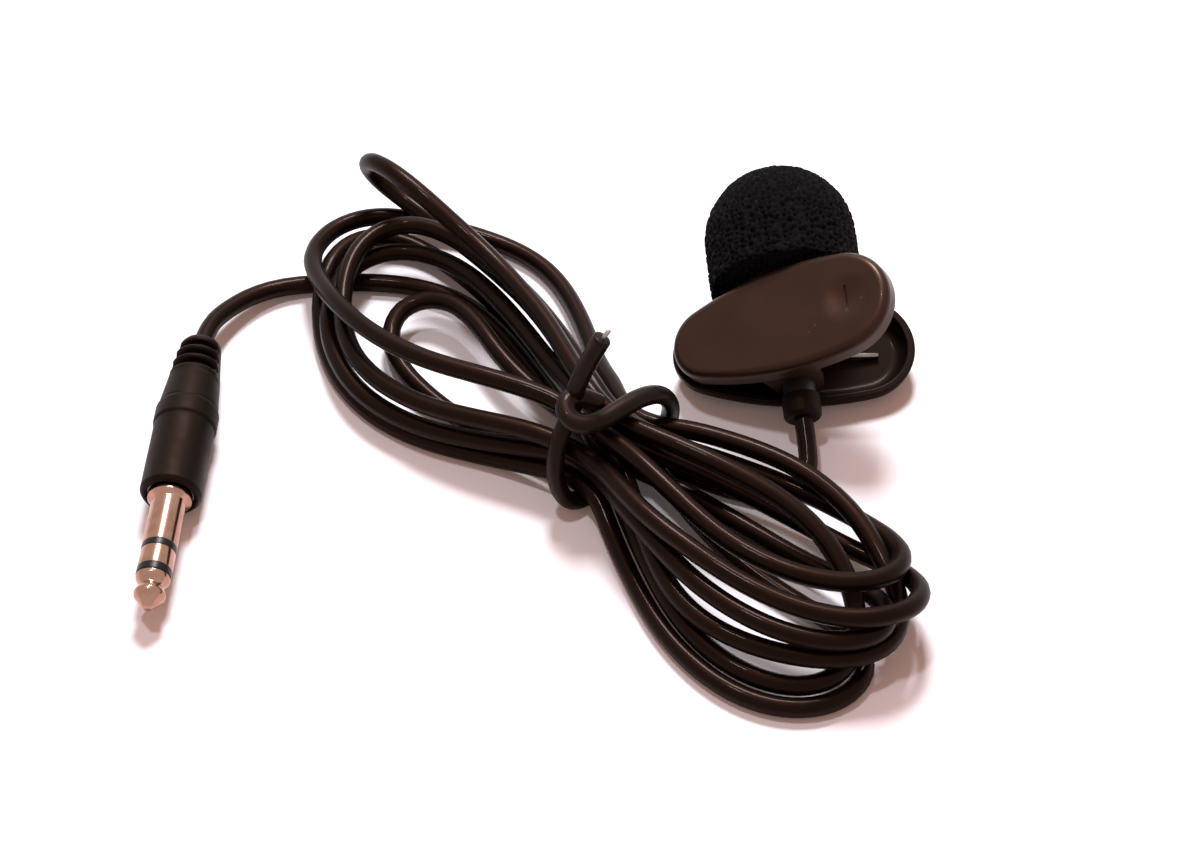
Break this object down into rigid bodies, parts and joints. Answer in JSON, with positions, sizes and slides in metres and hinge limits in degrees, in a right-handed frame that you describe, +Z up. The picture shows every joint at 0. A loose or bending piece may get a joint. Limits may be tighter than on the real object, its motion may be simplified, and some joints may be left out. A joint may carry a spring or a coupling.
{
  "type": "lavalier microphone",
  "caption": "Tie-clip microphone with a foam windscreen, a sprung clip, a thin cord tied in a hank and a 3.5 mm plug.",
  "frame": {"origin": "on the table under the middle of the clip and head; the cord, its tie and the plug are left out of that box", "axes": "+X along the clip towards its thumb end, +Y along the head towards the foam's dome, +Z up from the table"},
  "size_m": [0.0818, 0.0716, 0.0236],
  "materials": {
    "windscreen_foam": "matt open-cell foam",
    "clip_plastic": "satin moulded",
    "housing_plastic": "satin moulded",
    "grille_paint": "matt painted",
    "felt": "pressed felt",
    "sleeve_rubber": "matt",
    "can_aluminium": "drawn",
    "diaphragm_film": "metallised film",
    "insulating_film": "film",
    "ring_brass": "turned",
    "insulating_plastic": "moulded",
    "board_laminate": "laminate",
    "chip_epoxy": "moulded epoxy",
    "lead_insulation": "extruded",
    "lead_copper": "bare strands",
    "cord_jacket": "glossy extruded",
    "moulded_jacket": "satin moulded",
    "nickel_plate": "polished nickel plate",
    "plug_insulator": "moulded",
    "spring_steel": "drawn wire",
    "tie_plastic": "extruded coating",
    "tie_steel": "cut wire"
  },
  "bodies": {
    "microphone": {"back_plate": "ring_brass", "capsule_board": "board_laminate", "capsule_can": "can_aluminium", "capsule_fet": "chip_epoxy", "capsule_sleeve": "sleeve_rubber", "clip_base": "clip_plastic", "clip_spring": "spring_steel", "cord_clamp": "can_aluminium", "cord_gland": "moulded_jacket", "cord_hank": "cord_jacket", "cord_head_end": "cord_jacket", "cord_inner": "cord_jacket", "cord_plug_end": "cord_jacket", "diaphragm": "diaphragm_film", "diaphragm_ring": "ring_brass", "diaphragm_spacer": "insulating_film", "dust_felt": "felt", "gate_ring": "ring_brass", "head_grille": "grille_paint", "head_housing": "housing_plastic", "insulator_ring": "insulating_plastic", "plug_bridge_wire": "lead_copper", "plug_cord_inner": "cord_jacket", "plug_core": "insulating_plastic", "plug_crimp": "nickel_plate", "plug_insulator_front": "plug_insulator", "plug_insulator_rear": "plug_insulator", "plug_liner_inner": "plug_insulator", "plug_liner_outer": "plug_insulator", "plug_overmold": "moulded_jacket", "plug_ring": "nickel_plate", "plug_shield_wire": "lead_copper", "plug_signal_wire": "lead_insulation", "plug_sleeve": "nickel_plate", "plug_tip": "nickel_plate", "tie_coating": "tie_plastic", "tie_wire": "tie_steel", "wire_shield": "lead_copper", "wire_signal": "lead_insulation"},
    "lever": {"clip_lever": "clip_plastic"},
    "windscreen": {"foam_windscreen": "windscreen_foam"}
  },
  "joints": [
    {"name": "lever_hinge", "type": "hinge", "parent": "microphone", "child": "lever", "pos_m": [-0.0003, -0.00528, 0.00593], "axis": [0, 0.9612, 0.276], "range_deg": [0, 35], "stiffness_Nm_per_rad": 0.01, "springref_deg": -34.38, "deforming": ["clip_spring"]},
    {"name": "windscreen_pull", "type": "slide", "parent": "microphone", "child": "windscreen", "axis": [0, 0.9612, 0.276], "range_m": [0, 0.02]}
  ]
}
